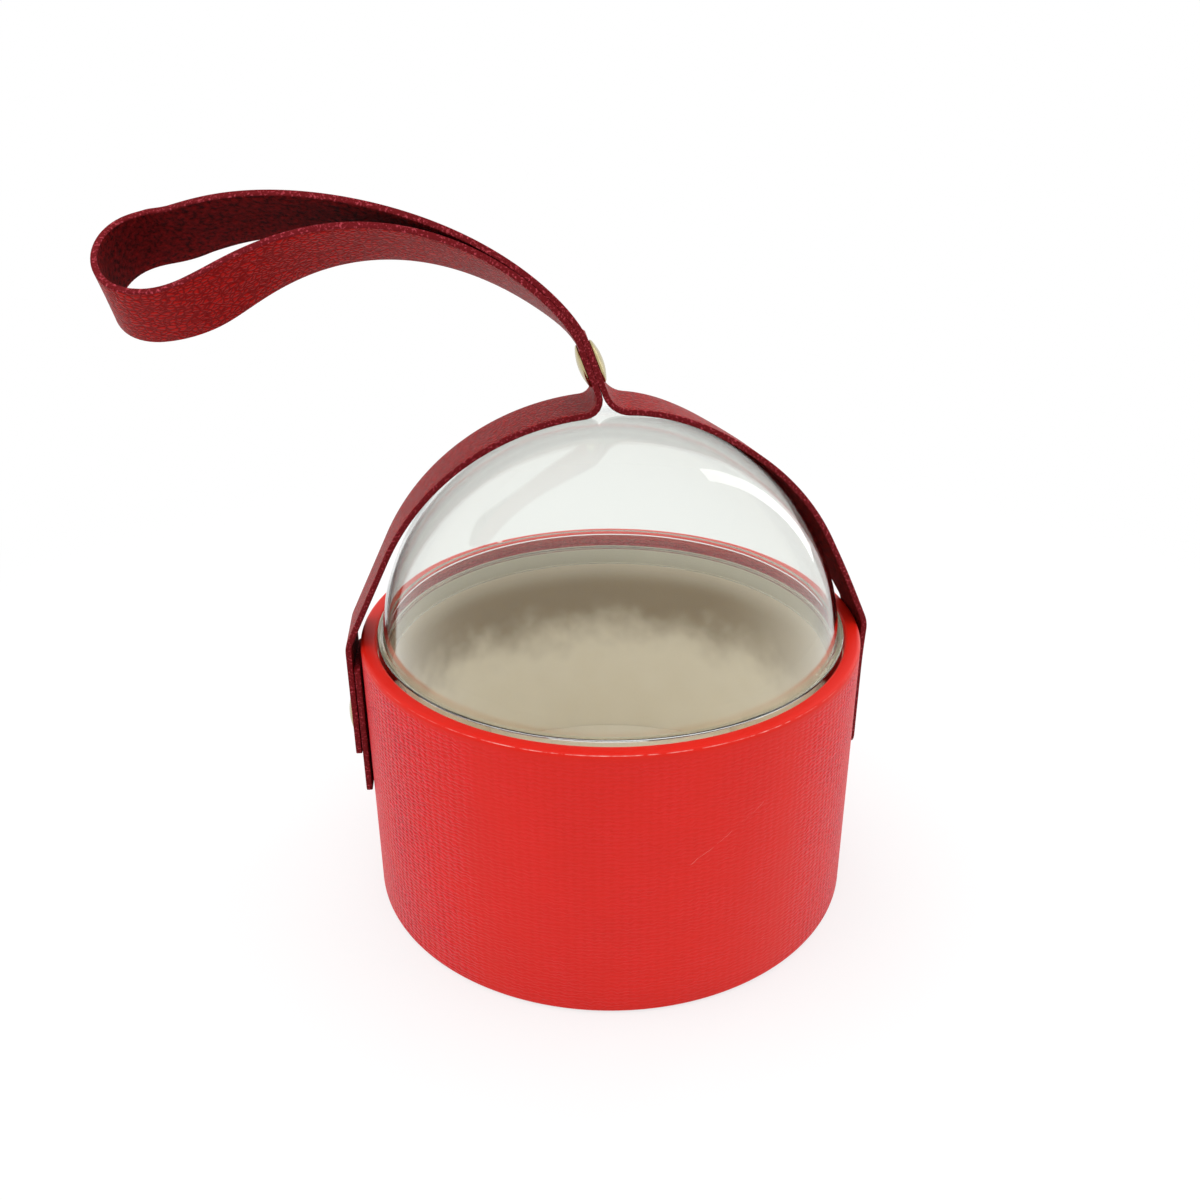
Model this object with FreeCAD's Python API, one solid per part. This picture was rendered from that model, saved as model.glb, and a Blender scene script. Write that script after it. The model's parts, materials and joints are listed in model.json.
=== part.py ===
import FreeCAD, Part
import math
import os

# A round gift box: a paper-covered card drum, a clear dome lid that plugs into it,
# and a leather strap over the dome, pinched by a rivet into a carrying loop.
# Millimetres. The origin is the centre of the underside, +Z is up, and the strap
# lies in the XZ plane with its riveted end at +X and its press-stud end at -X.

# Drum
DRUM_DIAMETER = 110.0
DRUM_HEIGHT = 62.5
PAPER = 0.3
TUBE_BOARD = 2.7
BASE_BOARD = 2.0
LINER_BOARD = 1.4
LINER_FLOOR_BOARD = 1.2
GLUE_LINE = 0.05
RIM_ROUND = 0.8
LEDGE_DROP = 4.2
FOLD_CLEARANCE = 0.2
TURN_UNDER = 8.0
COVER_INSET = 1.5

# Dome lid
LID_WALL = 0.8
LID_CLEARANCE = 0.3
FLANGE_WIDTH = 1.0
FLANGE_THICKNESS = 1.0
PLUG_DEPTH = 4.0
PLUG_WALL = 0.7

# Strap and its tab; a tail is what hangs below a fastener
STRAP_WIDTH = 15.0
STRAP_THICKNESS = 1.25
TAB_THICKNESS = 1.25
SEAT_GAP = 0.1
CLOSURE_GAP = 0.2
LEFT_LID_GAP = 2.0
RIGHT_LID_GAP = 3.0
FIXED_TAIL = 12.5
FREE_TAIL = 7.5
TAB_TAIL = 17.5
TAB_TOP_DROP = 5.0
FIXED_CORNER = 3.0
FREE_CORNER = 1.0
FLEX_DROP = 2.0
FLEX_GAP = 0.3
RIM_BEND = 6.0
RIM_BEND_LEAD = 0.35

# Pinch where the two halves of the strap rise side by side
PINCH_LEAN = 20.0
PINCH_SHIFT = 0.0
PINCH_GAP = 0.1
LEFT_FILLET = 2.0
RIGHT_FILLET = 4.5
RIVET_MARGIN = 0.2

# Carrying loop above the pinch
LOOP_ROOT_BEND = 16.0
LOOP_ROOT_TURN = 27.0
LOOP_CROWN_BEND = 60.0
LOOP_CROWN_TURN = 59.0
LOOP_STRAIGHT = 19.0
LOOP_TIP_RADIUS = 9.8
LOOP_OPENING_POWER = 2.1
LOOP_TWIST = 58.0
LOOP_TWIST_POWER = 0.68
LOOP_STATIONS = 26
TIP_STATIONS = 12

# Rivets and press stud
CAP_DIAMETER = 9.0
CAP_HEIGHT = 1.4
CAP_EDGE = 0.5
POST_DIAMETER = 3.0
POST_CLEARANCE = 0.1
WASHER_DIAMETER = 8.0
WASHER_THICKNESS = 0.8
PEENED_DIAMETER = 4.4
PEENED_HEIGHT = 0.6
FASTENER_DROP = 19.5
SOCKET_DIAMETER = 7.5
SOCKET_RECESS = 0.95
STUD_DIAMETER = 4.2
STUD_CLEARANCE = 0.25
STUD_BASE_DIAMETER = 6.0
STUD_BASE = 0.7

# Radii and heights that follow from the sizes above
drum_radius = DRUM_DIAMETER / 2
wrap_inner = drum_radius - PAPER
tube_outer = wrap_inner - GLUE_LINE
tube_inner = tube_outer - TUBE_BOARD
rim_inner = tube_inner - GLUE_LINE - PAPER
liner_outer = tube_inner - GLUE_LINE
liner_inner = liner_outer - LINER_BOARD
wrap_foot = PAPER
board_foot = wrap_foot + PAPER
base_top = board_foot + BASE_BOARD
ledge = DRUM_HEIGHT - LEDGE_DROP
lid_centre = ledge + FLANGE_THICKNESS
flange_radius = rim_inner - LID_CLEARANCE
lid_radius = flange_radius - FLANGE_WIDTH
lid_top = lid_centre + lid_radius
plug_radius = liner_inner - LID_CLEARANCE
right_wall = drum_radius + SEAT_GAP
tab_face = right_wall + TAB_THICKNESS
left_wall = tab_face + CLOSURE_GAP
fastener_height = DRUM_HEIGHT - FASTENER_DROP
flex_height = DRUM_HEIGHT - FLEX_DROP
bend_height = flex_height + FLEX_GAP / 2 + RIM_BEND_LEAD
half_width = STRAP_WIDTH / 2
post_hole_radius = POST_DIAMETER / 2 + POST_CLEARANCE
lean = math.radians(PINCH_LEAN)
pinch_up = FreeCAD.Vector(-math.sin(lean), 0, math.cos(lean))
pinch_right = FreeCAD.Vector(math.cos(lean), 0, math.sin(lean))
pinch_base = FreeCAD.Vector(PINCH_SHIFT, 0, lid_top)
Y_AXIS = FreeCAD.Vector(0, 1, 0)
Z_AXIS = FreeCAD.Vector(0, 0, 1)


def flat(x, z):
    """A point of a profile or of the strap's outline, in the XZ plane."""
    return FreeCAD.Vector(x, 0, z)


def polar(centre, radius, angle):
    """The point on a circle in the XZ plane at an angle up from +X."""
    return centre + flat(radius * math.cos(angle), radius * math.sin(angle))


def line(start, end):
    return Part.makeLine(start, end)


def arc(centre, radius, start_angle, end_angle):
    """A circular edge in the XZ plane between two angles."""
    middle = (start_angle + end_angle) / 2
    points = [polar(centre, radius, angle) for angle in (start_angle, middle, end_angle)]
    return Part.Arc(*points).toShape()


def outline_face(edges):
    return Part.Face(Part.Wire(Part.__sortEdges__(edges)))


def polygon_edges(points):
    return [line(points[i], points[i + 1]) for i in range(len(points) - 1)]


def revolved(edges):
    """The solid that a closed profile sweeps around the box's axis."""
    return outline_face(edges).revolve(flat(0, 0), Z_AXIS, 360)


def disc(radius, foot, thickness):
    return Part.makeCylinder(radius, thickness, flat(0, foot))


def ring(inner, outer, foot, top):
    return disc(outer, foot, top - foot).cut(disc(inner, foot, top - foot))


def rod(start, direction, radius, length):
    return Part.makeCylinder(radius, length, start, direction)


def through_wall(side, radius):
    """A cutter for a fastener's hole through one side of the drum and its strap."""
    reach = 2 * TUBE_BOARD + 2 * STRAP_THICKNESS + 2 * TAB_THICKNESS
    start = flat(side * (liner_inner - TUBE_BOARD), fastener_height)
    return rod(start, flat(side, 0), radius, reach + LINER_BOARD)


def with_wall_holes(shape):
    """Cuts the post holes of the riveted end and of the press stud."""
    return shape.cut(through_wall(1, post_hole_radius)).cut(through_wall(-1, post_hole_radius))


def make_outer_tube():
    """Spiral-wound greyboard tube with a softened rim."""
    round_radius = RIM_ROUND - PAPER - GLUE_LINE
    top = DRUM_HEIGHT - PAPER - GLUE_LINE
    shoulder = top - round_radius
    outer_centre = flat(tube_outer - round_radius, shoulder)
    inner_centre = flat(tube_inner + round_radius, shoulder)
    edges = polygon_edges([flat(tube_inner, shoulder), flat(tube_inner, board_foot),
                           flat(tube_outer, board_foot), flat(tube_outer, shoulder)])
    edges.append(arc(outer_centre, round_radius, 0, math.pi / 2))
    edges.append(line(polar(outer_centre, round_radius, math.pi / 2),
                      polar(inner_centre, round_radius, math.pi / 2)))
    edges.append(arc(inner_centre, round_radius, math.pi / 2, math.pi))
    return with_wall_holes(revolved(edges))


def make_outer_wrap():
    """Embossed paper glued around the tube, folded over the rim and under the base."""
    shoulder = DRUM_HEIGHT - RIM_ROUND
    inner_round = RIM_ROUND - PAPER
    turn_in_foot = ledge + FOLD_CLEARANCE
    outer_centre = flat(drum_radius - RIM_ROUND, shoulder)
    inner_centre = flat(rim_inner + RIM_ROUND, shoulder)
    fold_inner = rim_inner + PAPER
    hem = drum_radius - TURN_UNDER
    edges = polygon_edges([flat(fold_inner, shoulder), flat(fold_inner, turn_in_foot),
                           flat(rim_inner, turn_in_foot), flat(rim_inner, shoulder)])
    edges += polygon_edges([flat(drum_radius, shoulder), flat(drum_radius, wrap_foot),
                            flat(hem, wrap_foot), flat(hem, board_foot),
                            flat(wrap_inner, board_foot), flat(wrap_inner, shoulder)])
    for radius in (RIM_ROUND, inner_round):
        edges.append(arc(outer_centre, radius, 0, math.pi / 2))
        edges.append(line(polar(outer_centre, radius, math.pi / 2),
                          polar(inner_centre, radius, math.pi / 2)))
        edges.append(arc(inner_centre, radius, math.pi / 2, math.pi))
    return with_wall_holes(revolved(edges))


def make_base_disc():
    return disc(tube_inner - GLUE_LINE, board_foot, BASE_BOARD)


def make_base_cover():
    """Paper disc that hides the folded hem; the box stands on it."""
    return disc(drum_radius - COVER_INSET, 0, PAPER)


def make_liner_tube():
    """Card tube inside the drum, whose top edge is the ledge that carries the lid."""
    return with_wall_holes(ring(liner_inner, liner_outer, base_top, ledge))


def make_liner_floor():
    return disc(liner_inner - GLUE_LINE, base_top, LINER_FLOOR_BOARD)


def make_dome_lid():
    """Thermoformed half ball with a flange on the ledge and a plug inside the liner."""
    centre = flat(0, lid_centre)
    hollow = lid_radius - LID_WALL
    plug_foot = ledge - PLUG_DEPTH
    plug_inner = plug_radius - PLUG_WALL
    edges = polygon_edges([polar(centre, lid_radius, 0), flat(flange_radius, lid_centre),
                           flat(flange_radius, ledge), flat(plug_radius, ledge),
                           flat(plug_radius, plug_foot), flat(plug_inner, plug_foot),
                           flat(plug_inner, ledge), polar(centre, hollow, 0)])
    edges.append(arc(centre, hollow, 0, math.pi / 2))
    edges.append(line(polar(centre, hollow, math.pi / 2), polar(centre, lid_radius, math.pi / 2)))
    edges.append(arc(centre, lid_radius, 0, math.pi / 2))
    return revolved(edges)


def strap_plate(side, inner_face, thickness, foot, top, corner):
    """A flat leather end on one side wall, with rounded lower corners."""
    low = foot + corner
    reach = half_width - corner
    start = side * inner_face
    corners = [(half_width, top), (-half_width, top), (-half_width, low),
               (-reach, foot), (reach, foot), (half_width, low)]
    points = [FreeCAD.Vector(start, y, z) for y, z in corners]
    bite = corner * math.sqrt(0.5)
    left_middle = FreeCAD.Vector(start, -reach - bite, low - bite)
    right_middle = FreeCAD.Vector(start, reach + bite, low - bite)
    edges = [line(points[5], points[0]), line(points[0], points[1]), line(points[1], points[2]),
             Part.Arc(points[2], left_middle, points[3]).toShape(), line(points[3], points[4]),
             Part.Arc(points[4], right_middle, points[5]).toShape()]
    return outline_face(edges).extrude(flat(side * thickness, 0))


def make_strap_fixed_end():
    plate = strap_plate(1, right_wall, STRAP_THICKNESS, fastener_height - FIXED_TAIL,
                        flex_height - FLEX_GAP / 2, FIXED_CORNER)
    return plate.cut(through_wall(1, post_hole_radius))


def make_strap_free_end():
    """The end that peels off its tab, with the press stud's socket set in its thickness."""
    plate = strap_plate(-1, left_wall, STRAP_THICKNESS, fastener_height - FREE_TAIL,
                        flex_height - FLEX_GAP / 2, FREE_CORNER)
    return plate.cut(through_wall(-1, SOCKET_DIAMETER / 2))


def make_anchor_tab():
    """The leather tab on the drum that carries the press stud."""
    plate = strap_plate(-1, right_wall, TAB_THICKNESS, fastener_height - TAB_TAIL,
                        DRUM_HEIGHT - TAB_TOP_DROP, FREE_CORNER)
    seat = rod(flat(-tab_face, fastener_height), flat(1, 0), STUD_BASE_DIAMETER / 2, STUD_BASE)
    return plate.cut(through_wall(-1, post_hole_radius)).cut(seat)


class Half:
    """The sizes of one half of the strap: its side, its wall, its lid gap and its top bend."""

    def __init__(self, side, wall, lid_gap, fillet):
        self.side = side
        self.wall = wall
        self.radius = lid_radius + lid_gap
        self.fillet = fillet


right_half = Half(1, right_wall, RIGHT_LID_GAP, RIGHT_FILLET)
left_half = Half(-1, left_wall, LEFT_LID_GAP, LEFT_FILLET)


def rim_to_lid_angle(half):
    """Elevation at which the strap's straight run from the rim meets its curve over the lid."""
    to_lid = flat(RIM_BEND - half.wall, lid_centre - bend_height)
    heading = math.atan2(to_lid.z, to_lid.x) + 2 * math.pi
    return heading - math.acos((RIM_BEND - half.radius) / to_lid.Length)


def top_bend_centre(half):
    """Centre of the bend that turns a half of the strap from the lid up into the pinch."""
    offset = PINCH_GAP / 2 + STRAP_THICKNESS + half.fillet
    start = pinch_base + pinch_right * (half.side * offset)
    from_lid = start - flat(0, lid_centre)
    reach = half.radius + STRAP_THICKNESS + half.fillet
    along = from_lid.dot(pinch_up)
    climb = math.sqrt(along ** 2 - from_lid.dot(from_lid) + reach ** 2) - along
    return start + pinch_up * climb


def pinch_climb(half):
    """How far up the pinch a half's top bend ends, from the pinch's base point."""
    return (top_bend_centre(half) - pinch_base).dot(pinch_up)


pinch_foot = max(pinch_climb(left_half), pinch_climb(right_half))
rivet_climb = pinch_foot + RIVET_MARGIN + CAP_DIAMETER / 2
flex_climb = rivet_climb + CAP_DIAMETER / 2 + RIVET_MARGIN
rivet_centre = pinch_base + pinch_up * rivet_climb
handle_base = pinch_base + pinch_up * (flex_climb + FLEX_GAP / 2)


def arch_face(half, depth):
    """Edges of one face of an arch, from the rim's flex line up to the pinch's flex line.

    depth is 0 on the face towards the lid and the strap's thickness on the other face.
    """
    def mirrored(angle):
        return angle if half.side > 0 else math.pi - angle

    bend_centre = flat(half.side * (half.wall - RIM_BEND), bend_height)
    bend_radius = RIM_BEND + depth
    centre = flat(0, lid_centre)
    radius = half.radius + depth
    tangent = mirrored(rim_to_lid_angle(half))
    turn = top_bend_centre(half)
    turn_radius = half.fillet + STRAP_THICKNESS - depth
    crown = math.atan2(turn.z - lid_centre, turn.x)
    turn_start = crown + half.side * math.pi
    turn_end = lean + math.pi if half.side > 0 else lean
    foot = flat(half.side * (half.wall + depth), flex_height + FLEX_GAP / 2)
    flex_point = pinch_base + pinch_up * (flex_climb - FLEX_GAP / 2)
    top = flex_point + pinch_right * (half.side * (PINCH_GAP / 2 + depth))
    edges = [line(foot, polar(bend_centre, bend_radius, mirrored(0))),
             arc(bend_centre, bend_radius, mirrored(0), tangent),
             line(polar(bend_centre, bend_radius, tangent), polar(centre, radius, tangent)),
             arc(centre, radius, tangent, crown),
             arc(turn, turn_radius, turn_start, turn_end),
             line(polar(turn, turn_radius, turn_end), top)]
    return edges, foot, top


def make_arch(half):
    """One half of the strap, from the rim over the lid and up through the pinch rivet."""
    inner, inner_foot, inner_top = arch_face(half, 0)
    outer, outer_foot, outer_top = arch_face(half, STRAP_THICKNESS)
    edges = inner + outer + [line(inner_foot, outer_foot), line(inner_top, outer_top)]
    band = outline_face(edges).extrude(Y_AXIS * STRAP_WIDTH)
    band.translate(Y_AXIS * -half_width)
    return band.cut(pinch_cutter())


def pinch_cutter():
    reach = PINCH_GAP + 2 * STRAP_THICKNESS + 2 * CAP_HEIGHT
    return rod(rivet_centre - pinch_right * (reach / 2), pinch_right, post_hole_radius, reach)


def eased(value):
    return value * value * (3 - 2 * value)


root_run = LOOP_ROOT_BEND * math.radians(LOOP_ROOT_TURN)
crown_run = LOOP_CROWN_BEND * math.radians(LOOP_CROWN_TURN)
loop_run = root_run + crown_run + LOOP_STRAIGHT


def spine_bend(start, heading, radius, run):
    """Follows a left-hand bend in the XZ plane and gives its end and new heading."""
    turned = run / radius
    sideways = heading - math.pi / 2
    centre = polar(start, -radius, sideways)
    return polar(centre, radius, sideways + turned), heading + turned


def loop_frame(run):
    """Spine point, its direction, the front layer's side and the width's direction.

    The spine bends over to -X, and the two layers of the strap twist about it.
    """
    point, heading = spine_bend(handle_base, math.pi / 2 + lean, LOOP_ROOT_BEND, min(run, root_run))
    crown_part = min(max(run - root_run, 0), crown_run)
    point, heading = spine_bend(point, heading, LOOP_CROWN_BEND, crown_part)
    point = polar(point, max(run - root_run - crown_run, 0), heading)
    along = flat(math.cos(heading), math.sin(heading))
    leftward = flat(-along.z, along.x)
    twist = math.radians(LOOP_TWIST) * (run / loop_run) ** LOOP_TWIST_POWER
    front = leftward * math.cos(twist) - Y_AXIS * math.sin(twist)
    across = Y_AXIS * math.cos(twist) + leftward * math.sin(twist)
    return point, along, front, across


def loop_opening(run):
    """Half the distance between the loop's two layers at a place on its spine."""
    closed = (PINCH_GAP + STRAP_THICKNESS) / 2
    share = run / loop_run
    return closed + (LOOP_TIP_RADIUS - closed) * eased(share ** LOOP_OPENING_POWER)


def loop_section(centre, across, outward):
    """The strap's rectangular section as a closed wire."""
    side = across * half_width
    depth = outward * (STRAP_THICKNESS / 2)
    corners = [centre - side - depth, centre + side - depth,
               centre + side + depth, centre - side + depth]
    return Part.makePolygon(corners + corners[:1])


def layer_section(run, layer):
    """The section of the front (+1) or back (-1) layer at a place on the spine."""
    point, along, front, across = loop_frame(run)
    step = loop_run / LOOP_STATIONS
    ahead = min(run + step / 2, loop_run)
    behind = max(run - step / 2, 0)
    slope = (loop_opening(ahead) - loop_opening(behind)) / (ahead - behind)
    if run == 0:
        slope = 0
    outward = front * layer - along * slope
    outward.normalize()
    return loop_section(point + front * (layer * loop_opening(run)), across, outward)


def tip_section(angle):
    """A section on the round end of the loop, by its angle from the front layer."""
    point, along, front, across = loop_frame(loop_run)
    outward = front * math.cos(angle) + along * math.sin(angle)
    return loop_section(point + outward * LOOP_TIP_RADIUS, across, outward)


def make_handle_loop():
    """The carrying loop: up the front layer, around the tip and down the back layer."""
    runs = [loop_run * i / LOOP_STATIONS for i in range(LOOP_STATIONS)]
    sections = [layer_section(run, 1) for run in runs]
    sections += [tip_section(math.pi * i / TIP_STATIONS) for i in range(TIP_STATIONS + 1)]
    sections += [layer_section(run, -1) for run in reversed(runs)]
    return Part.makeLoft(sections, True, True)


def domed_cap(seat, direction):
    """A low domed rivet cap, seated with its flat face at a point."""
    radius = CAP_DIAMETER / 2
    rise = CAP_HEIGHT - CAP_EDGE
    ball = (radius ** 2 + rise ** 2) / (2 * rise)
    centre = flat(0, CAP_HEIGHT - ball)
    edge_angle = math.acos(radius / ball)
    edges = polygon_edges([flat(0, CAP_HEIGHT), flat(0, 0), flat(radius, 0), flat(radius, CAP_EDGE)])
    edges.append(arc(centre, ball, edge_angle, math.pi / 2))
    cap = revolved(edges)
    cap.Placement = FreeCAD.Placement(seat, FreeCAD.Rotation(Z_AXIS, direction))
    return cap


def make_pinch_cap(side):
    depth = PINCH_GAP / 2 + STRAP_THICKNESS
    return domed_cap(rivet_centre + pinch_right * (side * depth), pinch_right * side)


def make_pinch_post():
    length = PINCH_GAP + 2 * STRAP_THICKNESS
    return rod(rivet_centre - pinch_right * (length / 2), pinch_right, POST_DIAMETER / 2, length)


def flat_against_liner(radius):
    """How far from the axis a flat disc of a radius sits inside the round liner."""
    return math.sqrt(liner_inner ** 2 - radius ** 2) - GLUE_LINE


washer_seat = flat_against_liner(WASHER_DIAMETER / 2)
strap_outer_right = right_wall + STRAP_THICKNESS
strap_outer_left = left_wall + STRAP_THICKNESS


def make_end_rivet_cap():
    return domed_cap(flat(strap_outer_right, fastener_height), flat(1, 0))


def make_end_rivet_washer():
    start = flat(washer_seat - WASHER_THICKNESS, fastener_height)
    washer = rod(start, flat(1, 0), WASHER_DIAMETER / 2, WASHER_THICKNESS)
    return washer.cut(through_wall(1, post_hole_radius))


def make_end_rivet_post():
    """Solid post through the wall, peened over the washer inside."""
    peened_face = washer_seat - WASHER_THICKNESS
    start = flat(peened_face, fastener_height)
    post = rod(start, flat(1, 0), POST_DIAMETER / 2, strap_outer_right - peened_face)
    return post.fuse(rod(start, flat(-1, 0), PEENED_DIAMETER / 2, PEENED_HEIGHT)).removeSplitter()


def make_snap_post():
    """Flat-headed eyelet from inside the drum that holds the press stud on the tab."""
    start = flat(-washer_seat, fastener_height)
    head = rod(start, flat(1, 0), WASHER_DIAMETER / 2, WASHER_THICKNESS)
    reach = tab_face - STUD_BASE - washer_seat
    return head.fuse(rod(start, flat(-1, 0), POST_DIAMETER / 2, reach)).removeSplitter()


def make_snap_stud():
    """The press stud: a foot set into the tab and a button that enters the socket."""
    foot = flat(STUD_BASE - tab_face, fastener_height)
    proud = CLOSURE_GAP + SOCKET_RECESS - STUD_CLEARANCE
    base = rod(foot, flat(-1, 0), STUD_BASE_DIAMETER / 2, STUD_BASE)
    button = rod(foot, flat(-1, 0), STUD_DIAMETER / 2, STUD_BASE + proud)
    return base.fuse(button).removeSplitter()


def make_snap_socket():
    """The spring cup set into the strap's thickness."""
    mouth = flat(-left_wall, fastener_height)
    cup = rod(mouth, flat(-1, 0), SOCKET_DIAMETER / 2, STRAP_THICKNESS)
    return cup.cut(rod(mouth, flat(-1, 0), STUD_DIAMETER / 2 + STUD_CLEARANCE, SOCKET_RECESS))


def make_snap_cap():
    return domed_cap(flat(-strap_outer_left, fastener_height), flat(-1, 0))


pieces = {
    "outer_tube": make_outer_tube(),
    "outer_wrap": make_outer_wrap(),
    "base_disc": make_base_disc(),
    "base_cover": make_base_cover(),
    "liner_tube": make_liner_tube(),
    "liner_floor": make_liner_floor(),
    "dome_lid": make_dome_lid(),
    "anchor_tab": make_anchor_tab(),
    "strap_fixed_end": make_strap_fixed_end(),
    "strap_right_arch": make_arch(right_half),
    "strap_left_arch": make_arch(left_half),
    "strap_free_end": make_strap_free_end(),
    "handle_loop": make_handle_loop(),
    "pinch_rivet_left_cap": make_pinch_cap(-1),
    "pinch_rivet_right_cap": make_pinch_cap(1),
    "pinch_rivet_post": make_pinch_post(),
    "end_rivet_cap": make_end_rivet_cap(),
    "end_rivet_post": make_end_rivet_post(),
    "end_rivet_washer": make_end_rivet_washer(),
    "snap_post": make_snap_post(),
    "snap_stud": make_snap_stud(),
    "snap_socket": make_snap_socket(),
    "snap_cap": make_snap_cap(),
}

os.makedirs("parts", exist_ok=True)
for node, shape in pieces.items():
    shape.exportStep("parts/" + node + ".step")
    print(node, "valid" if shape.isValid() else "INVALID", round(shape.Volume, 1), len(shape.Solids))

# The flex lines where the strap hinges: on the face that the bend closes on
hinges = {
    "strap_swing": flat(strap_outer_right, flex_height),
    "strap_end_peel": flat(-strap_outer_left, flex_height),
    "handle_flop": pinch_base + pinch_up * flex_climb + pinch_right * (PINCH_GAP / 2 + STRAP_THICKNESS),
}
for joint, place in hinges.items():
    print(joint, "hinge at", [round(value, 4) for value in place])
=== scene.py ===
import bmesh
import bpy
import json
import math
from mathutils import Matrix, Vector


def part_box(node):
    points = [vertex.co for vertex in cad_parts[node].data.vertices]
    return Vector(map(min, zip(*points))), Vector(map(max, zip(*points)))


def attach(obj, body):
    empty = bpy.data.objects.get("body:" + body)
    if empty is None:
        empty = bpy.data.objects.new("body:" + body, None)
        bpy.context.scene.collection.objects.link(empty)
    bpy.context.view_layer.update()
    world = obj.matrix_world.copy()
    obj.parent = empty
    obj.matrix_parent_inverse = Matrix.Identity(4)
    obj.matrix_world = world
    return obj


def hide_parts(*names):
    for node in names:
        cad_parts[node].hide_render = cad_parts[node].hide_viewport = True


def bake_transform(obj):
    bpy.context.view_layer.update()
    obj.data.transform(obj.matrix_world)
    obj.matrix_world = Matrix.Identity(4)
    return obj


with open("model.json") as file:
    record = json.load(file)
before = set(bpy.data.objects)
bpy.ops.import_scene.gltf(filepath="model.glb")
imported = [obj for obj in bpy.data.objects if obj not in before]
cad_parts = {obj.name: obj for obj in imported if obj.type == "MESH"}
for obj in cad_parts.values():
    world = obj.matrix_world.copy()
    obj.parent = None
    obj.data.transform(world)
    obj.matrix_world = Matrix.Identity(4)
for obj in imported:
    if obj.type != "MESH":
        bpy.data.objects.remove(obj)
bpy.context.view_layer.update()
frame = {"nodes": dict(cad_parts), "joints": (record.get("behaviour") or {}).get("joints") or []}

MM = 0.001


# Greyboard core
# A spiral-wound grey cardboard tube with a disc of the same board glued into its foot.
# The covering paper and the lining leave little of them to see.

wrap_low, wrap_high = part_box("outer_wrap")
tube_low, tube_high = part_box("outer_tube")
DRUM_RADIUS = wrap_high.x
DRUM_TOP = wrap_high.z
PAPER = 0.3 * MM
RIM_WIDTH = 3.4 * MM
RIM_ROUND = 1.0 * MM
GLUE = 0.03 * MM
DRUM_SEGMENTS = 256
RIM_ANGLE = 35
ROUND_STEPS = 6
MERGE_DISTANCE = 0.001 * MM


def linear(hex_colour):
    """The linear colour of an sRGB hex value."""
    channels = [int(hex_colour[i:i + 2], 16) / 255 for i in (1, 3, 5)]
    return [c / 12.92 if c <= 0.04045 else ((c + 0.055) / 1.055) ** 2.4 for c in channels] + [1.0]


def add(tree, kind, inputs, **settings):
    """One node with its settings; an input is another node's output or a plain value."""
    node = tree.nodes.new(kind)
    for name, value in settings.items():
        setattr(node, name, value)
    for name, value in inputs.items():
        if isinstance(value, bpy.types.NodeSocket):
            tree.links.new(value, node.inputs[name])
        else:
            node.inputs[name].default_value = value
    return node


def new_material(name):
    """An empty node material and its tree."""
    material = bpy.data.materials.new(name)
    material.use_nodes = True
    material.node_tree.nodes.clear()
    return material, material.node_tree


def per_mm(size):
    """The texture scale that gives a pattern of a size in millimetres."""
    return 1 / (size * MM)


def dress(nodes, material):
    """Gives CAD nodes that stay in view their finish."""
    for name in nodes:
        slots = frame["nodes"][name].data.materials
        slots.clear()
        slots.append(material)


def round_corner(centre, radius, start, end, steps=ROUND_STEPS):
    """Points of a profile on a circle between two angles in degrees."""
    angles = [math.radians(start + (end - start) * i / steps) for i in range(steps + 1)]
    return [(centre[0] + radius * math.cos(a), centre[1] + radius * math.sin(a)) for a in angles]


def finish_piece(name, mesh, materials, smooth_angle=RIM_ANGLE):
    """Puts a modelled mesh in the scene, shaded smooth up to an angle between faces."""
    bmesh.ops.remove_doubles(mesh, verts=mesh.verts, dist=MERGE_DISTANCE)
    bmesh.ops.recalc_face_normals(mesh, faces=mesh.faces)
    data = bpy.data.meshes.new(name)
    mesh.to_mesh(data)
    mesh.free()
    data.shade_smooth()
    data.set_sharp_from_angle(angle=math.radians(smooth_angle))
    for material in materials:
        data.materials.append(material)
    piece = bpy.data.objects.new(name, data)
    bpy.context.scene.collection.objects.link(piece)
    return piece


def spun(name, profile, material, closed=True, segments=DRUM_SEGMENTS, place=Matrix.Identity(4)):
    """A turned piece: a profile of (radius, height) points spun about Z and put in its place."""
    mesh = bmesh.new()
    verts = [mesh.verts.new((radius, 0, height)) for radius, height in profile]
    pairs = list(zip(verts, verts[1:])) + ([(verts[-1], verts[0])] if closed else [])
    edges = [mesh.edges.new(pair) for pair in pairs]
    bmesh.ops.spin(mesh, geom=verts + edges, cent=(0, 0, 0), axis=(0, 0, 1),
                   angle=2 * math.pi, steps=segments, use_merge=True)
    bmesh.ops.transform(mesh, matrix=place, verts=mesh.verts)
    return finish_piece(name, mesh, [material])


def mottled(name, grain, dark, light, relief, roughness):
    """A plain finish in two tones, mottled and roughened by flecks; grain and relief are in mm."""
    material, tree = new_material(name)
    place = add(tree, "ShaderNodeTexCoord", {}).outputs["Object"]
    flecks = add(tree, "ShaderNodeTexNoise", {"Vector": place, "Scale": per_mm(grain), "Detail": 4.0})
    tone = add(tree, "ShaderNodeMix", {
        "Factor": flecks.outputs["Fac"], "A": linear(dark), "B": linear(light)}, data_type="RGBA")
    bump = add(tree, "ShaderNodeBump", {"Height": flecks.outputs["Fac"], "Distance": relief * MM})
    surface = add(tree, "ShaderNodeBsdfPrincipled", {
        "Base Color": tone.outputs["Result"], "Roughness": roughness, "Normal": bump.outputs["Normal"]})
    add(tree, "ShaderNodeOutputMaterial", {"Surface": surface.outputs["BSDF"]})
    return material


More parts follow.
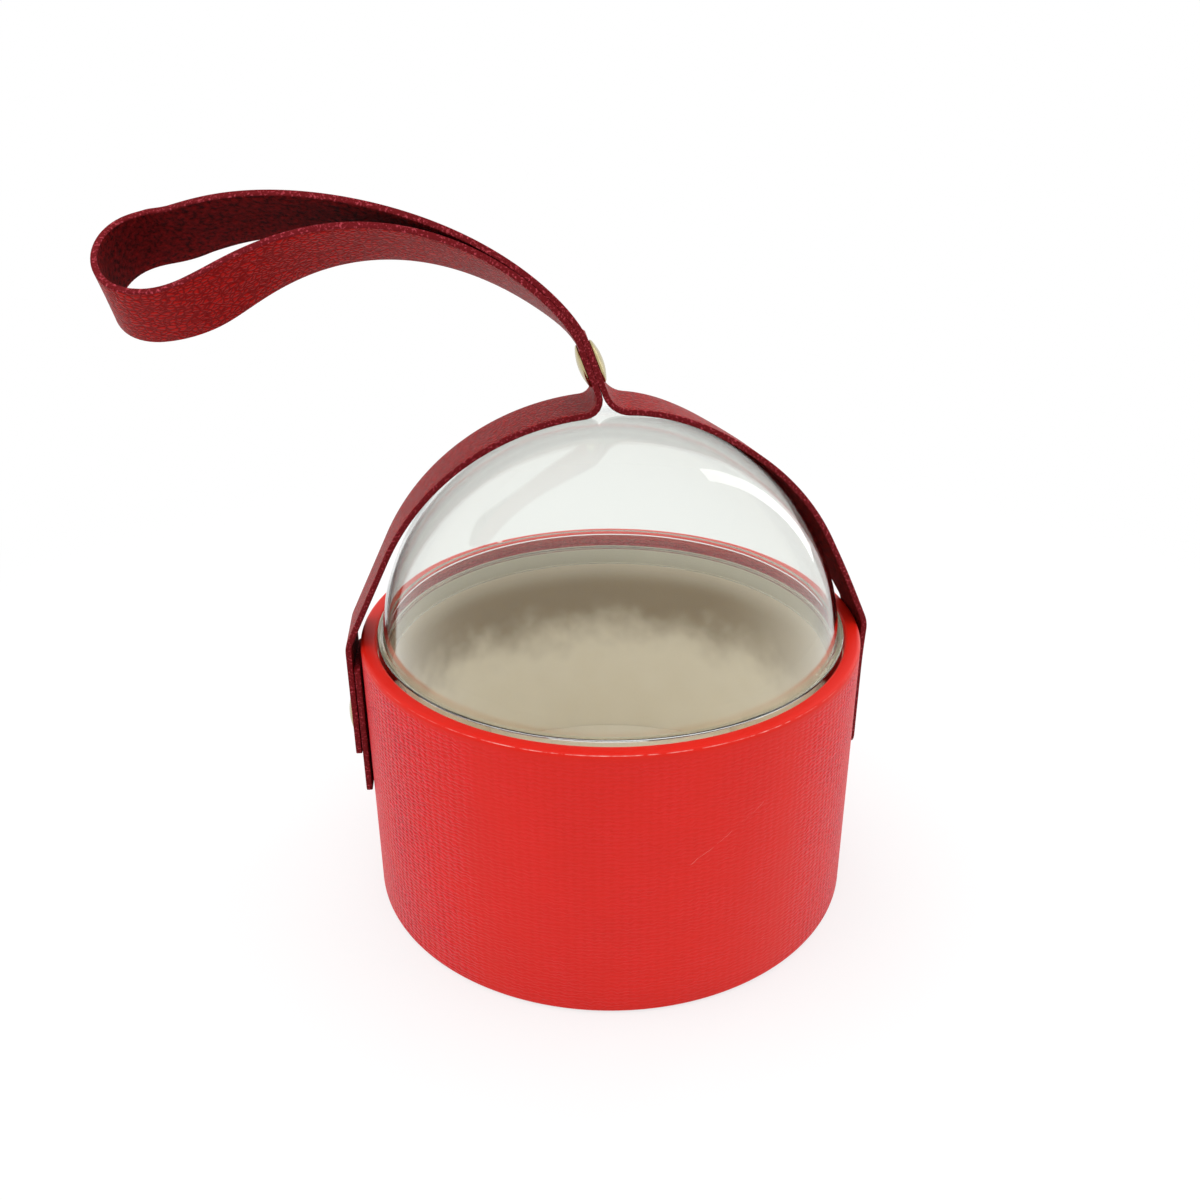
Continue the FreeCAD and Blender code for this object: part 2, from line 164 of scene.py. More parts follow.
# Recycled greyboard: matt grey pulp with darker and lighter fibre flecks.
board = mottled("greyboard", grain=0.8, dark="#77706A", light="#A79F95", relief=0.05, roughness=0.9)
tube_bore = DRUM_RADIUS - RIM_WIDTH + PAPER + GLUE
tube_top = DRUM_TOP - RIM_ROUND
tube = spun("board_tube", [(tube_bore, tube_low.z), (tube_high.x, tube_low.z),
                           (tube_high.x, tube_top), (tube_bore, tube_top)], board)
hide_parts("outer_tube")
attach(tube, "drum")
dress(["base_disc"], board)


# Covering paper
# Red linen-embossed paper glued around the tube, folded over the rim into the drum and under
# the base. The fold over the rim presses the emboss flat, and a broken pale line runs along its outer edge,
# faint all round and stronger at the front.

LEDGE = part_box("liner_tube")[1].z
INNER_ROUND = 0.7 * MM
FOOT_ROUND = 0.6 * MM
TURN_UNDER = 8 * MM
TURN_IN_GAP = 0.2 * MM
THREAD_RISE = 0.9
THREAD_COLUMN = 1.8
WAVE_PERIOD = 2 * math.pi / 20
EMBOSS_DEPTH = 0.4 * MM
EMBOSS_START = DRUM_TOP - 0.8 * MM
EMBOSS_FULL = DRUM_TOP - 2.2 * MM
# Front and side bearings of the flatter emboss and of the painted thread light.
HANDLED_SHEEN_FRONT = -46 * MM
HANDLED_SHEEN_SIDE = -28 * MM
FOLD_WIDTH = 0.13 * MM
# Where the pale line along the rim's fold is faint and where it is strongest.
PALE_LINE_SIDE = -40 * MM
PALE_LINE_FRONT = -50 * MM
CHIPPED_FROM = DRUM_TOP - 1.2 * MM
SCRATCH_START = Vector((-76.8, 35.8, 0)) * MM
SCRATCH_END = Vector((-60.8, 46.4, 0)) * MM
SCRATCH_WIDTH = 0.12 * MM
SCRATCH_SHAKE = 2 * MM

rim_bore = DRUM_RADIUS - RIM_WIDTH


def paper_profile():
    """Section of the paper: over the rim, down the wall and under the base, then back inside."""
    turn_in = LEDGE + TURN_IN_GAP
    foot = wrap_low.z
    outer_centre = (DRUM_RADIUS - RIM_ROUND, DRUM_TOP - RIM_ROUND)
    inner_centre = (rim_bore + INNER_ROUND, DRUM_TOP - INNER_ROUND)
    foot_centre = (DRUM_RADIUS - FOOT_ROUND, foot + FOOT_ROUND)
    hem = DRUM_RADIUS - TURN_UNDER
    skin = [(rim_bore, turn_in)] + round_corner(inner_centre, INNER_ROUND, 180, 90)
    skin += round_corner(outer_centre, RIM_ROUND, 90, 0)
    skin += round_corner(foot_centre, FOOT_ROUND, 0, -90) + [(hem, foot)]
    back = [(hem, foot + PAPER)] + round_corner(foot_centre, FOOT_ROUND - PAPER, -90, 0)
    back += round_corner(outer_centre, RIM_ROUND - PAPER, 0, 90)
    back += round_corner(inner_centre, INNER_ROUND - PAPER, 90, 180) + [(rim_bore + PAPER, turn_in)]
    return skin + back


def linen_paper():
    """Coated paper with a linen emboss: saturated red, with a soft sheen at the sides and painted highlights
    and shade on the threads there.

    The emboss is columns of short level threads. It follows the wall as arc length and height.
    """
    material, tree = new_material("linen_embossed_paper")
    place = add(tree, "ShaderNodeTexCoord", {}).outputs["Object"]
    axes = add(tree, "ShaderNodeSeparateXYZ", {"Vector": place}).outputs
    level = add(tree, "ShaderNodeVectorMath", {0: place, 1: (1, 1, 0)}, operation="MULTIPLY")
    radius = add(tree, "ShaderNodeVectorMath", {0: level.outputs["Vector"]}, operation="LENGTH")
    bearing = add(tree, "ShaderNodeMath", {0: axes["Y"], 1: axes["X"]}, operation="ARCTAN2")
    arc = add(tree, "ShaderNodeMath", {0: bearing.outputs[0], 1: DRUM_RADIUS}, operation="MULTIPLY")
    on_wall = add(tree, "ShaderNodeCombineXYZ", {"X": arc.outputs[0], "Y": axes["Z"]}).outputs["Vector"]

    threads = add(tree, "ShaderNodeTexWave", {
        "Vector": on_wall, "Scale": WAVE_PERIOD * per_mm(THREAD_RISE), "Distortion": 7.0, "Detail": 2.0,
        "Detail Scale": 1.6, "Detail Roughness": 0.6}, bands_direction="Y")
    columns = add(tree, "ShaderNodeTexWave", {
        "Vector": on_wall, "Scale": WAVE_PERIOD * per_mm(THREAD_COLUMN), "Distortion": 2.0, "Detail": 2.0,
        "Detail Scale": 1.5}, bands_direction="X")
    woven = add(tree, "ShaderNodeMath", {
        0: columns.outputs["Fac"], 1: 0.55, 2: threads.outputs["Fac"]}, operation="MULTIPLY_ADD")
    slubs = add(tree, "ShaderNodeTexNoise", {"Vector": on_wall, "Scale": per_mm(7), "Detail": 3.0})
    wall = add(tree, "ShaderNodeMapRange", {
        "Value": axes["Z"], "From Min": EMBOSS_START, "From Max": EMBOSS_FULL})
    depth = add(tree, "ShaderNodeMapRange", {
        "Value": slubs.outputs["Fac"], "From Min": 0.3, "From Max": 0.7, "To Min": 0.45, "To Max": 1.0})
    # Weaker emboss towards the front. The same share sets how much painted thread light shows, so the
    # painted highlights and groove shade are strongest at the sides.
    handled_and_side_sheen = add(tree, "ShaderNodeMapRange", {
        "Value": axes["Y"], "From Min": HANDLED_SHEEN_FRONT, "From Max": HANDLED_SHEEN_SIDE, "To Min": 0.12,
        "To Max": 1.0})
    kept = add(tree, "ShaderNodeMath", {
        0: handled_and_side_sheen.outputs["Result"], 1: depth.outputs["Result"]}, operation="MULTIPLY")
    pressed = add(tree, "ShaderNodeMath", {
        0: wall.outputs["Result"], 1: kept.outputs[0]}, operation="MULTIPLY")
    relief = add(tree, "ShaderNodeMath", {0: woven.outputs[0], 1: pressed.outputs[0]}, operation="MULTIPLY")
    bump = add(tree, "ShaderNodeBump", {"Height": relief.outputs[0], "Distance": EMBOSS_DEPTH})

    mottle = add(tree, "ShaderNodeTexNoise", {"Vector": place, "Scale": per_mm(18), "Detail": 3.0})
    red = add(tree, "ShaderNodeMix", {
        "Factor": mottle.outputs["Fac"], "A": linear("#CC1A0C"), "B": linear("#DA2012")}, data_type="RGBA")
    # Painted highlight and shade: the thread tops are painted pink where a sheen would catch them, and the
    # grooves between them are painted darker red.
    thread_light_mask = add(tree, "ShaderNodeMapRange", {"Value": woven.outputs[0], "From Min": 0.2, "From Max": 1.2})
    painted_thread_light = add(tree, "ShaderNodeMix", {
        "Factor": thread_light_mask.outputs["Result"], "A": linear("#C00C16"), "B": linear("#F83C50")},
        data_type="RGBA")
    painted_light_share = add(tree, "ShaderNodeMath", {0: pressed.outputs[0], 1: 0.8}, operation="MULTIPLY")
    red_with_painted_emboss_light = add(tree, "ShaderNodeMix", {
        "Factor": painted_light_share.outputs[0], "A": red.outputs["Result"], "B": painted_thread_light.outputs["Result"]},
        data_type="RGBA")

    skew = add(tree, "ShaderNodeMath", {0: radius.outputs["Value"], 1: axes["Z"]}, operation="SUBTRACT")
    # A broken pale line along the middle of the rim's outer round, faint all round and stronger towards the
    # front.
    fold = add(tree, "ShaderNodeMath", {
        0: skew.outputs[0], 1: DRUM_RADIUS - DRUM_TOP, 2: FOLD_WIDTH}, operation="COMPARE")
    pale_breakup = add(tree, "ShaderNodeTexNoise", {"Vector": place, "Scale": per_mm(2.6), "Detail": 5.0})
    pale_patches = add(tree, "ShaderNodeMapRange", {
        "Value": pale_breakup.outputs["Fac"], "From Min": 0.42, "From Max": 0.62})
    front = add(tree, "ShaderNodeMapRange", {
        "Value": axes["Y"], "From Min": PALE_LINE_SIDE, "From Max": PALE_LINE_FRONT, "To Min": 0.1, "To Max": 0.5})
    pale_fold = add(tree, "ShaderNodeMath", {
        0: fold.outputs[0], 1: pale_patches.outputs["Result"]}, operation="MULTIPLY")
    pale_fold_line = add(tree, "ShaderNodeMath", {
        0: pale_fold.outputs[0], 1: front.outputs["Result"]}, operation="MULTIPLY")
    spots = add(tree, "ShaderNodeTexVoronoi", {"Vector": place, "Scale": per_mm(11)})
    chip = add(tree, "ShaderNodeMapRange", {
        "Value": spots.outputs["Distance"], "From Min": 0.07, "From Max": 0.05})
    near_top = add(tree, "ShaderNodeMath", {0: axes["Z"], 1: CHIPPED_FROM}, operation="GREATER_THAN")
    chips = add(tree, "ShaderNodeMath", {
        0: chip.outputs["Result"], 1: near_top.outputs[0]}, operation="MULTIPLY")

    run = SCRATCH_END - SCRATCH_START
    along = run.normalized()
    across = Vector((-along.y, along.x, 0))
    offset = add(tree, "ShaderNodeVectorMath", {0: on_wall, 1: SCRATCH_START}, operation="SUBTRACT")
    beside = add(tree, "ShaderNodeVectorMath", {
        0: offset.outputs["Vector"], 1: across}, operation="DOT_PRODUCT")
    reach = add(tree, "ShaderNodeVectorMath", {
        0: offset.outputs["Vector"], 1: along}, operation="DOT_PRODUCT")
    shaken = add(tree, "ShaderNodeMath", {
        0: slubs.outputs["Fac"], 1: SCRATCH_SHAKE, 2: beside.outputs["Value"]}, operation="MULTIPLY_ADD")
    on_line = add(tree, "ShaderNodeMath", {
        0: shaken.outputs[0], 1: SCRATCH_SHAKE / 2, 2: SCRATCH_WIDTH / 2}, operation="COMPARE")
    within = add(tree, "ShaderNodeMath", {
        0: reach.outputs["Value"], 1: run.length / 2, 2: run.length / 2}, operation="COMPARE")
    broken = add(tree, "ShaderNodeMapRange", {
        "Value": pale_breakup.outputs["Fac"], "From Min": 0.4, "From Max": 0.55, "To Max": 0.16})
    line = add(tree, "ShaderNodeMath", {0: on_line.outputs[0], 1: within.outputs[0]}, operation="MULTIPLY")
    scratch = add(tree, "ShaderNodeMath", {
        0: line.outputs[0], 1: broken.outputs["Result"]}, operation="MULTIPLY")

    marks = add(tree, "ShaderNodeMath", {0: pale_fold_line.outputs[0], 1: chips.outputs[0]}, operation="MAXIMUM")
    marks = add(tree, "ShaderNodeMath", {0: marks.outputs[0], 1: scratch.outputs[0]}, operation="MAXIMUM")
    colour = add(tree, "ShaderNodeMix", {
        "Factor": marks.outputs[0], "A": red_with_painted_emboss_light.outputs["Result"], "B": linear("#F3C9C2")},
        data_type="RGBA")
    gloss = add(tree, "ShaderNodeMapRange", {"Value": mottle.outputs["Fac"], "To Min": 0.36, "To Max": 0.5})
    surface = add(tree, "ShaderNodeBsdfPrincipled", {
        "Base Color": colour.outputs["Result"], "Roughness": gloss.outputs["Result"],
        "Specular IOR Level": 0.2, "Normal": bump.outputs["Normal"]})
    add(tree, "ShaderNodeOutputMaterial", {"Surface": surface.outputs["BSDF"]})
    return material


covering = spun("covering_paper", paper_profile(), linen_paper())
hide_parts("outer_wrap")
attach(covering, "drum")


# Base paper
# A disc of red paper glued over the folded hem, on which the box stands. It is coated like the
# covering paper but has no emboss: smooth, with a faint mottle.

red_paper = mottled("plain_red_paper", grain=5, dark="#B81810", light="#CC1C14", relief=0.05, roughness=0.5)
dress(["base_cover"], red_paper)


# Lining
# A cream card tube glued into the drum, whose top edge is the ledge under the lid, and a cream
# card disc on the base. Both are smooth and uncoated.

LINER_WALL = 1.4 * MM
LINER_EDGE = 0.25 * MM
EDGE_STEPS = 3
FLOOR_GAP = 0.05 * MM
# Where the painted shade lies on the lining: its heights, its ragged edge and its reach towards the back.
PAINTED_SHADE_FOOT = 34 * MM
PAINTED_SHADE_FULL = 52 * MM
PAINTED_SHADE_RAGGED = 16 * MM
PAINTED_SHADE_FADE = 47 * MM
PAINTED_SHADE_TOP = 59 * MM
PAINTED_SHADE_BACK = 42 * MM


def cream_card():
    """Uncoated cream card: matt, with soft fibre cloud and a fine tooth, and a ragged band of painted shade
    on the upper back wall.
    """
    material, tree = new_material("cream_card")
    place = add(tree, "ShaderNodeTexCoord", {}).outputs["Object"]
    cloud = add(tree, "ShaderNodeTexNoise", {"Vector": place, "Scale": per_mm(9), "Detail": 6.0})
    tooth = add(tree, "ShaderNodeTexNoise", {"Vector": place, "Scale": per_mm(0.5), "Detail": 3.0})
    card_tone = add(tree, "ShaderNodeMix", {
        "Factor": cloud.outputs["Fac"], "A": linear("#EFE5CF"), "B": linear("#F8F0DF")}, data_type="RGBA")
    axes = add(tree, "ShaderNodeSeparateXYZ", {"Vector": place}).outputs
    # Painted shade: a ragged olive-brown band darkens the upper lining wall below the ledge, strongest at
    # the back and weaker towards the front.
    shade_height = add(tree, "ShaderNodeMath", {
        0: cloud.outputs["Fac"], 1: PAINTED_SHADE_RAGGED, 2: axes["Z"]}, operation="MULTIPLY_ADD")
    shade_rise = add(tree, "ShaderNodeMapRange", {
        "Value": shade_height.outputs[0], "From Min": PAINTED_SHADE_FOOT, "From Max": PAINTED_SHADE_FULL},
        interpolation_type="SMOOTHSTEP")
    edge = add(tree, "ShaderNodeMapRange", {
        "Value": axes["Z"], "From Min": PAINTED_SHADE_TOP, "From Max": PAINTED_SHADE_FADE}, interpolation_type="SMOOTHSTEP")
    far = add(tree, "ShaderNodeMapRange", {
        "Value": axes["Y"], "From Min": 0.0, "From Max": PAINTED_SHADE_BACK, "To Min": 0.2},
        interpolation_type="SMOOTHSTEP")
    band = add(tree, "ShaderNodeMath", {
        0: shade_rise.outputs["Result"], 1: edge.outputs["Result"]}, operation="MULTIPLY")
    painted_shade = add(tree, "ShaderNodeMath", {0: band.outputs[0], 1: far.outputs["Result"]}, operation="MULTIPLY")
    cream = add(tree, "ShaderNodeMix", {
        "Factor": painted_shade.outputs[0], "A": card_tone.outputs["Result"], "B": linear("#8A744A")}, data_type="RGBA")
    bump = add(tree, "ShaderNodeBump", {"Height": tooth.outputs["Fac"], "Distance": 0.04 * MM})
    surface = add(tree, "ShaderNodeBsdfPrincipled", {
        "Base Color": cream.outputs["Result"], "Roughness": 0.62, "Normal": bump.outputs["Normal"]})
    add(tree, "ShaderNodeOutputMaterial", {"Surface": surface.outputs["BSDF"]})
    return material


liner_low, liner_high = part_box("liner_tube")
floor_low, floor_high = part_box("liner_floor")
liner_inner = liner_high.x - LINER_WALL
card = cream_card()
lining = spun("lining_tube", [
    (liner_inner, liner_low.z), (liner_high.x, liner_low.z),
    *round_corner((liner_high.x - LINER_EDGE, LEDGE - LINER_EDGE), LINER_EDGE, 0, 90, EDGE_STEPS),
    *round_corner((liner_inner + LINER_EDGE, LEDGE - LINER_EDGE), LINER_EDGE, 90, 180, EDGE_STEPS)], card)
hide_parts("liner_tube")
floor_disc = spun("lining_floor", [
    (0, floor_high.z), (liner_inner - FLOOR_GAP - LINER_EDGE, floor_high.z),
    (liner_inner - FLOOR_GAP, floor_high.z - LINER_EDGE), (liner_inner - FLOOR_GAP, floor_low.z),
    (0, floor_low.z)], card, closed=False)
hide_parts("liner_floor")
for piece in (lining, floor_disc):
    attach(piece, "drum")


# Dome lid
# A half ball of clear sheet plastic, thermoformed. Just above the rim it steps out to a foot
# band that rests on the ledge, and a short plug enters the lining.

FLANGE_WIDTH = 1.0 * MM
LID_WALL = 0.8 * MM
LID_CLEARANCE = 0.3 * MM
SHOULDER_RISE = 0.9 * MM
SHOULDER_ROUND = 0.3 * MM
SHOULDER_STEPS = 4
DOME_STEPS = 64

lid_low, lid_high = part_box("dome_lid")
lid_radius = lid_high.x - FLANGE_WIDTH
lid_centre = lid_high.z - lid_radius


def clear_plastic():
    """Clear rigid plastic sheet: colourless, glossy, with the faint ripple of thermoforming.

    Lamps shine through it, as they do through a thin sheet, and light the lining.
    """
    material, tree = new_material("clear_plastic")
    place = add(tree, "ShaderNodeTexCoord", {}).outputs["Object"]
    ripple = add(tree, "ShaderNodeTexNoise", {"Vector": place, "Scale": per_mm(22), "Detail": 1.0})
    bump = add(tree, "ShaderNodeBump", {
        "Height": ripple.outputs["Fac"], "Distance": 0.25 * MM, "Strength": 0.5})
    clear = add(tree, "ShaderNodeBsdfPrincipled", {
        "Base Color": linear("#F8FAF8"), "Roughness": 0.02, "IOR": 1.5, "Transmission Weight": 1.0,
        "Normal": bump.outputs["Normal"]})
    through = add(tree, "ShaderNodeBsdfTransparent", {"Color": linear("#FDFEFD")})
    rays = add(tree, "ShaderNodeLightPath", {})
    either = add(tree, "ShaderNodeMixShader", {
        0: rays.outputs["Is Shadow Ray"], 1: clear.outputs["BSDF"], 2: through.outputs["BSDF"]})
    add(tree, "ShaderNodeOutputMaterial", {"Surface": either.outputs["Shader"]})
    return material


def dome_profile():
    """Outer face from the crown to the foot band and the plug, then the inner face to the crown."""
    hollow = lid_radius - LID_WALL
    plug = liner_inner - LID_CLEARANCE
    shoulder = DRUM_TOP + SHOULDER_RISE
    under = shoulder - LID_WALL
    band = lid_high.x
    outer_angle = math.degrees(math.asin((shoulder - lid_centre) / lid_radius))
    inner_angle = math.degrees(math.asin((under - lid_centre) / hollow))
    profile = round_corner((0, lid_centre), lid_radius, 90, outer_angle, DOME_STEPS)
    profile += round_corner((band - SHOULDER_ROUND, shoulder - SHOULDER_ROUND), SHOULDER_ROUND, 90, 0,
                            SHOULDER_STEPS)
    profile += [(band, LEDGE), (plug, LEDGE), (plug, lid_low.z), (hollow, lid_low.z),
                (hollow, LEDGE + LID_WALL), (band - LID_WALL, LEDGE + LID_WALL), (band - LID_WALL, under)]
    return profile + round_corner((0, lid_centre), hollow, inner_angle, 90, DOME_STEPS)


dome = spun("dome_lid_clear", dome_profile(), clear_plastic(), closed=False)
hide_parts("dome_lid")
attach(dome, "lid")


# Strap sections and finishes
# The strap is split hide coated with dark red, die-cut to 15 mm: the outer face has a pressed
# pebble grain, the inner face is raw suede and the cut edges show pink fibre ends.

fixed_low, fixed_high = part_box("strap_fixed_end")
STRAP_WIDTH = fixed_high.y - fixed_low.y
STRAP_THICKNESS = fixed_high.x - fixed_low.x
EDGE_ROUND = 0.22 * MM
ACROSS_STEPS = 6
STRAP_STEP = 1.0 * MM
STRAP_ANGLE = 50
BEND_STEPS = 6
CORNER_STEPS = 6
CORNER_MARGIN = 1.05
OUTER_FACE, INNER_FACE, CUT_EDGE = range(3)


def grain_leather():
    """Coated hide with a pressed pebble grain, drawn out along the strap: soft satin gloss."""
    material, tree = new_material("grain_leather")
    place = add(tree, "ShaderNodeUVMap", {}, uv_map="strap").outputs["UV"]
    warp = add(tree, "ShaderNodeTexNoise", {"Vector": place, "Scale": per_mm(1.6), "Detail": 3.0})
    bent = add(tree, "ShaderNodeVectorMath", {
        0: warp.outputs["Color"], 1: (0.9 * MM, 0.9 * MM, 0), 2: place}, operation="MULTIPLY_ADD")
    drawn = add(tree, "ShaderNodeMapping", {"Vector": bent.outputs["Vector"], "Scale": (0.62, 1.0, 1.0)})
    pebbles = add(tree, "ShaderNodeTexVoronoi", {
        "Vector": drawn.outputs["Vector"], "Scale": per_mm(0.78)}, feature="DISTANCE_TO_EDGE")
    crowns = add(tree, "ShaderNodeMapRange", {
        "Value": pebbles.outputs["Distance"], "From Max": 0.3}, interpolation_type="SMOOTHSTEP")
    pores = add(tree, "ShaderNodeTexNoise", {"Vector": place, "Scale": per_mm(0.35), "Detail": 3.0})
    relief = add(tree, "ShaderNodeMath", {
        0: pores.outputs["Fac"], 1: 0.5, 2: crowns.outputs["Result"]}, operation="MULTIPLY_ADD")
    bump = add(tree, "ShaderNodeBump", {"Height": relief.outputs[0], "Distance": 0.12 * MM})
    tone = add(tree, "ShaderNodeMix", {
        "Factor": crowns.outputs["Result"], "A": linear("#72090A"), "B": linear("#A61512")},
        data_type="RGBA")
    gloss = add(tree, "ShaderNodeMapRange", {"Value": warp.outputs["Fac"], "To Min": 0.3, "To Max": 0.5})
    surface = add(tree, "ShaderNodeBsdfPrincipled", {
        "Base Color": tone.outputs["Result"], "Roughness": gloss.outputs["Result"],
        "Specular IOR Level": 0.05, "Normal": bump.outputs["Normal"]})
    add(tree, "ShaderNodeOutputMaterial", {"Surface": surface.outputs["BSDF"]})
    return material


def suede_back():
    """Raw suede: very dark red nap in tufts, with no gloss."""
    material, tree = new_material("suede_back")
    place = add(tree, "ShaderNodeUVMap", {}, uv_map="strap").outputs["UV"]
    nap = add(tree, "ShaderNodeTexNoise", {
        "Vector": place, "Scale": per_mm(1.1), "Detail": 5.0, "Roughness": 0.65})
    tufts = add(tree, "ShaderNodeMapRange", {
        "Value": nap.outputs["Fac"], "From Min": 0.38, "From Max": 0.66})
    tone = add(tree, "ShaderNodeMix", {
        "Factor": tufts.outputs["Result"], "A": linear("#340204"), "B": linear("#7C0C0E")}, data_type="RGBA")
    bump = add(tree, "ShaderNodeBump", {"Height": nap.outputs["Fac"], "Distance": 0.5 * MM})
    surface = add(tree, "ShaderNodeBsdfPrincipled", {
        "Base Color": tone.outputs["Result"], "Roughness": 0.95, "Specular IOR Level": 0.1,
        "Normal": bump.outputs["Normal"]})
    add(tree, "ShaderNodeOutputMaterial", {"Surface": surface.outputs["BSDF"]})
    return material


def cut_edge():
    """Die-cut hide edge: dark red, rough, speckled with pale fibre ends."""
    material, tree = new_material("cut_leather_edge")
    place = add(tree, "ShaderNodeTexCoord", {}).outputs["Object"]
    fibres = add(tree, "ShaderNodeTexNoise", {"Vector": place, "Scale": per_mm(0.5), "Detail": 3.0})
    speckle = add(tree, "ShaderNodeMapRange", {
        "Value": fibres.outputs["Fac"], "From Min": 0.54, "From Max": 0.72})
    tone = add(tree, "ShaderNodeMix", {
        "Factor": speckle.outputs["Result"], "A": linear("#680810"), "B": linear("#BC4450")},
        data_type="RGBA")
    bump = add(tree, "ShaderNodeBump", {"Height": fibres.outputs["Fac"], "Distance": 0.3 * MM})
    surface = add(tree, "ShaderNodeBsdfPrincipled", {
        "Base Color": tone.outputs["Result"], "Roughness": 0.8, "Specular IOR Level": 0.2,
        "Normal": bump.outputs["Normal"]})
    add(tree, "ShaderNodeOutputMaterial", {"Surface": surface.outputs["BSDF"]})
    return material


leather = [grain_leather(), suede_back(), cut_edge()]


def strap_section():
    """The strap's section as (across, outward, face) points, with rounded cut edges."""
    half = STRAP_WIDTH / 2 - EDGE_ROUND
    rise = STRAP_THICKNESS / 2 - EDGE_ROUND
    steps = [i / ACROSS_STEPS for i in range(1, ACROSS_STEPS)]
    points = []
    for side, face in ((1, OUTER_FACE), (-1, INNER_FACE)):
        start = side * half
        points += [(x, y, CUT_EDGE) for x, y in
                   round_corner((start, side * rise), EDGE_ROUND, 90 * (1 - side), 90 * (2 - side),
                                EDGE_STEPS)[:-1]]
        points.append((start, side * STRAP_THICKNESS / 2, face))
        points += [(start * (1 - 2 * share), side * STRAP_THICKNESS / 2, face) for share in steps]
        points += [(x, y, CUT_EDGE) for x, y in
                   round_corner((-start, side * rise), EDGE_ROUND, 90 * (2 - side), 90 * (3 - side),
                                EDGE_STEPS)[:-1]]
        points.append((-start - side * EDGE_ROUND, side * rise, CUT_EDGE))
    return points


def strap_band(name, stations):
    """A leather band: the strap's section carried through stations of (run, place, width share)."""
    section = strap_section()
    mesh = bmesh.new()
    corner = mesh.verts.layers.int.new("corner")
    run_at = mesh.verts.layers.float.new("run")
    ring = []
    for index, (x, y, face) in enumerate(section):
        ring.append(mesh.verts.new((x, y, 0)))
        ring[-1][corner] = index
    edges = [mesh.edges.new((ring[i - 1], ring[i])) for i in range(len(ring))]
    first_edges = edges
    last = Matrix.Identity(4)
    for count, (run, place, share) in enumerate(stations):
        if count:
            made = bmesh.ops.extrude_edge_only(mesh, edges=edges)["geom"]
            ring = [item for item in made if isinstance(item, bmesh.types.BMVert)]
            edges = [item for item in made if isinstance(item, bmesh.types.BMEdge)
                     and all(vert in ring for vert in item.verts)]
        shaped = place @ Matrix.Diagonal((share, 1, 1, 1))
        bmesh.ops.transform(mesh, matrix=shaped @ last.inverted(), verts=ring)
        for vert in ring:
            vert[run_at] = run
        last = shaped
    for end in (first_edges, edges):
        bmesh.ops.contextual_create(mesh, geom=end)
    uv = mesh.loops.layers.uv.new("strap")
    for face in mesh.faces:
        corners = sorted({vert[corner] for vert in face.verts})
        wraps = corners[-1] - corners[0] > 1
        face.material_index = CUT_EDGE if len(face.verts) > 4 else section[corners[-1 if wraps else 0]][2]
        for loop in face.loops:
            x, y = section[loop.vert[corner]][:2]
            loop[uv].uv = (loop.vert[run_at], x + (y if face.material_index == CUT_EDGE else 0))
    return finish_piece(name, mesh, leather, STRAP_ANGLE)


def strap_place(point, across, outward, along):
    """The matrix that puts the strap's section at a point with its outer face outward."""
    place = Matrix((across, outward, along)).transposed().to_4x4()
    place.translation = point
    return place


def flat(x, z):
    """A point in the plane that the strap follows over the lid."""
    return Vector((x, 0, z))


def polar(centre, radius, angle):
    """A point in that plane on a circle."""
    return centre + radius * flat(math.cos(angle), math.sin(angle))


def line_points(start, end):
    """Points along a straight run of the strap, without its last."""
    count = max(1, round((end - start).length / STRAP_STEP))
    return [start.lerp(end, i / count) for i in range(count)]


def bend_points(centre, radius, start, end):
    """Points along a bend of the strap, without its last."""
    count = max(BEND_STEPS, round(abs(end - start) * radius / STRAP_STEP))
    return [polar(centre, radius, start + (end - start) * i / count) for i in range(count)]


def corner_share(distance, corner):
    """How much of the strap's width is left near an end whose corners are rounded."""
    if distance >= corner:
        return 1.0
    lost = corner - math.sqrt(corner ** 2 - (corner - distance) ** 2)
    return 1 - 2 * lost / STRAP_WIDTH


def with_corner_points(points, corner):
    """Adds points close to the first so that a rounded corner is drawn smoothly."""
    heading = (points[1] - points[0]).normalized()
    turns = [math.pi / 2 * i / CORNER_STEPS for i in range(CORNER_STEPS + 1)]
    near = [points[0] + heading * corner * (1 - math.cos(turn)) for turn in turns]
    return near + [point for point in points if (point - points[0]).length > corner * CORNER_MARGIN]


def band_stations(points, side, twist, corner, far_corner=0.0):
    """Stations of a band through points in the strap's plane, with its outer face on one side.

    twist gives degrees about the run at a distance along the band, near edge outward.
    """
    runs = [0.0]
    for before, after in zip(points, points[1:]):
        runs.append(runs[-1] + (after - before).length)
    stations = []
    for i, point in enumerate(points):
        along = (points[min(i + 1, len(points) - 1)] - points[max(i - 1, 0)]).normalized()
        outward = side * flat(along.z, -along.x)
        across = Vector((0, 1, 0))
        turn = Matrix.Rotation(math.radians(side * twist(runs[i], runs[-1])), 3, along)
        share = corner_share(runs[i], corner) * corner_share(runs[-1] - runs[i], far_corner)
        stations.append((runs[i], strap_place(point, turn @ across, turn @ outward, along), share))
    return stations


# Tab
# A short tab of the same leather, riveted to the left wall with its suede side in. It carries
# the stud onto which the free end of the strap snaps.

TAB_CORNER = 1.2 * MM


def untwisted(run, length):
    """A band that lies flat all along."""
    return 0.0


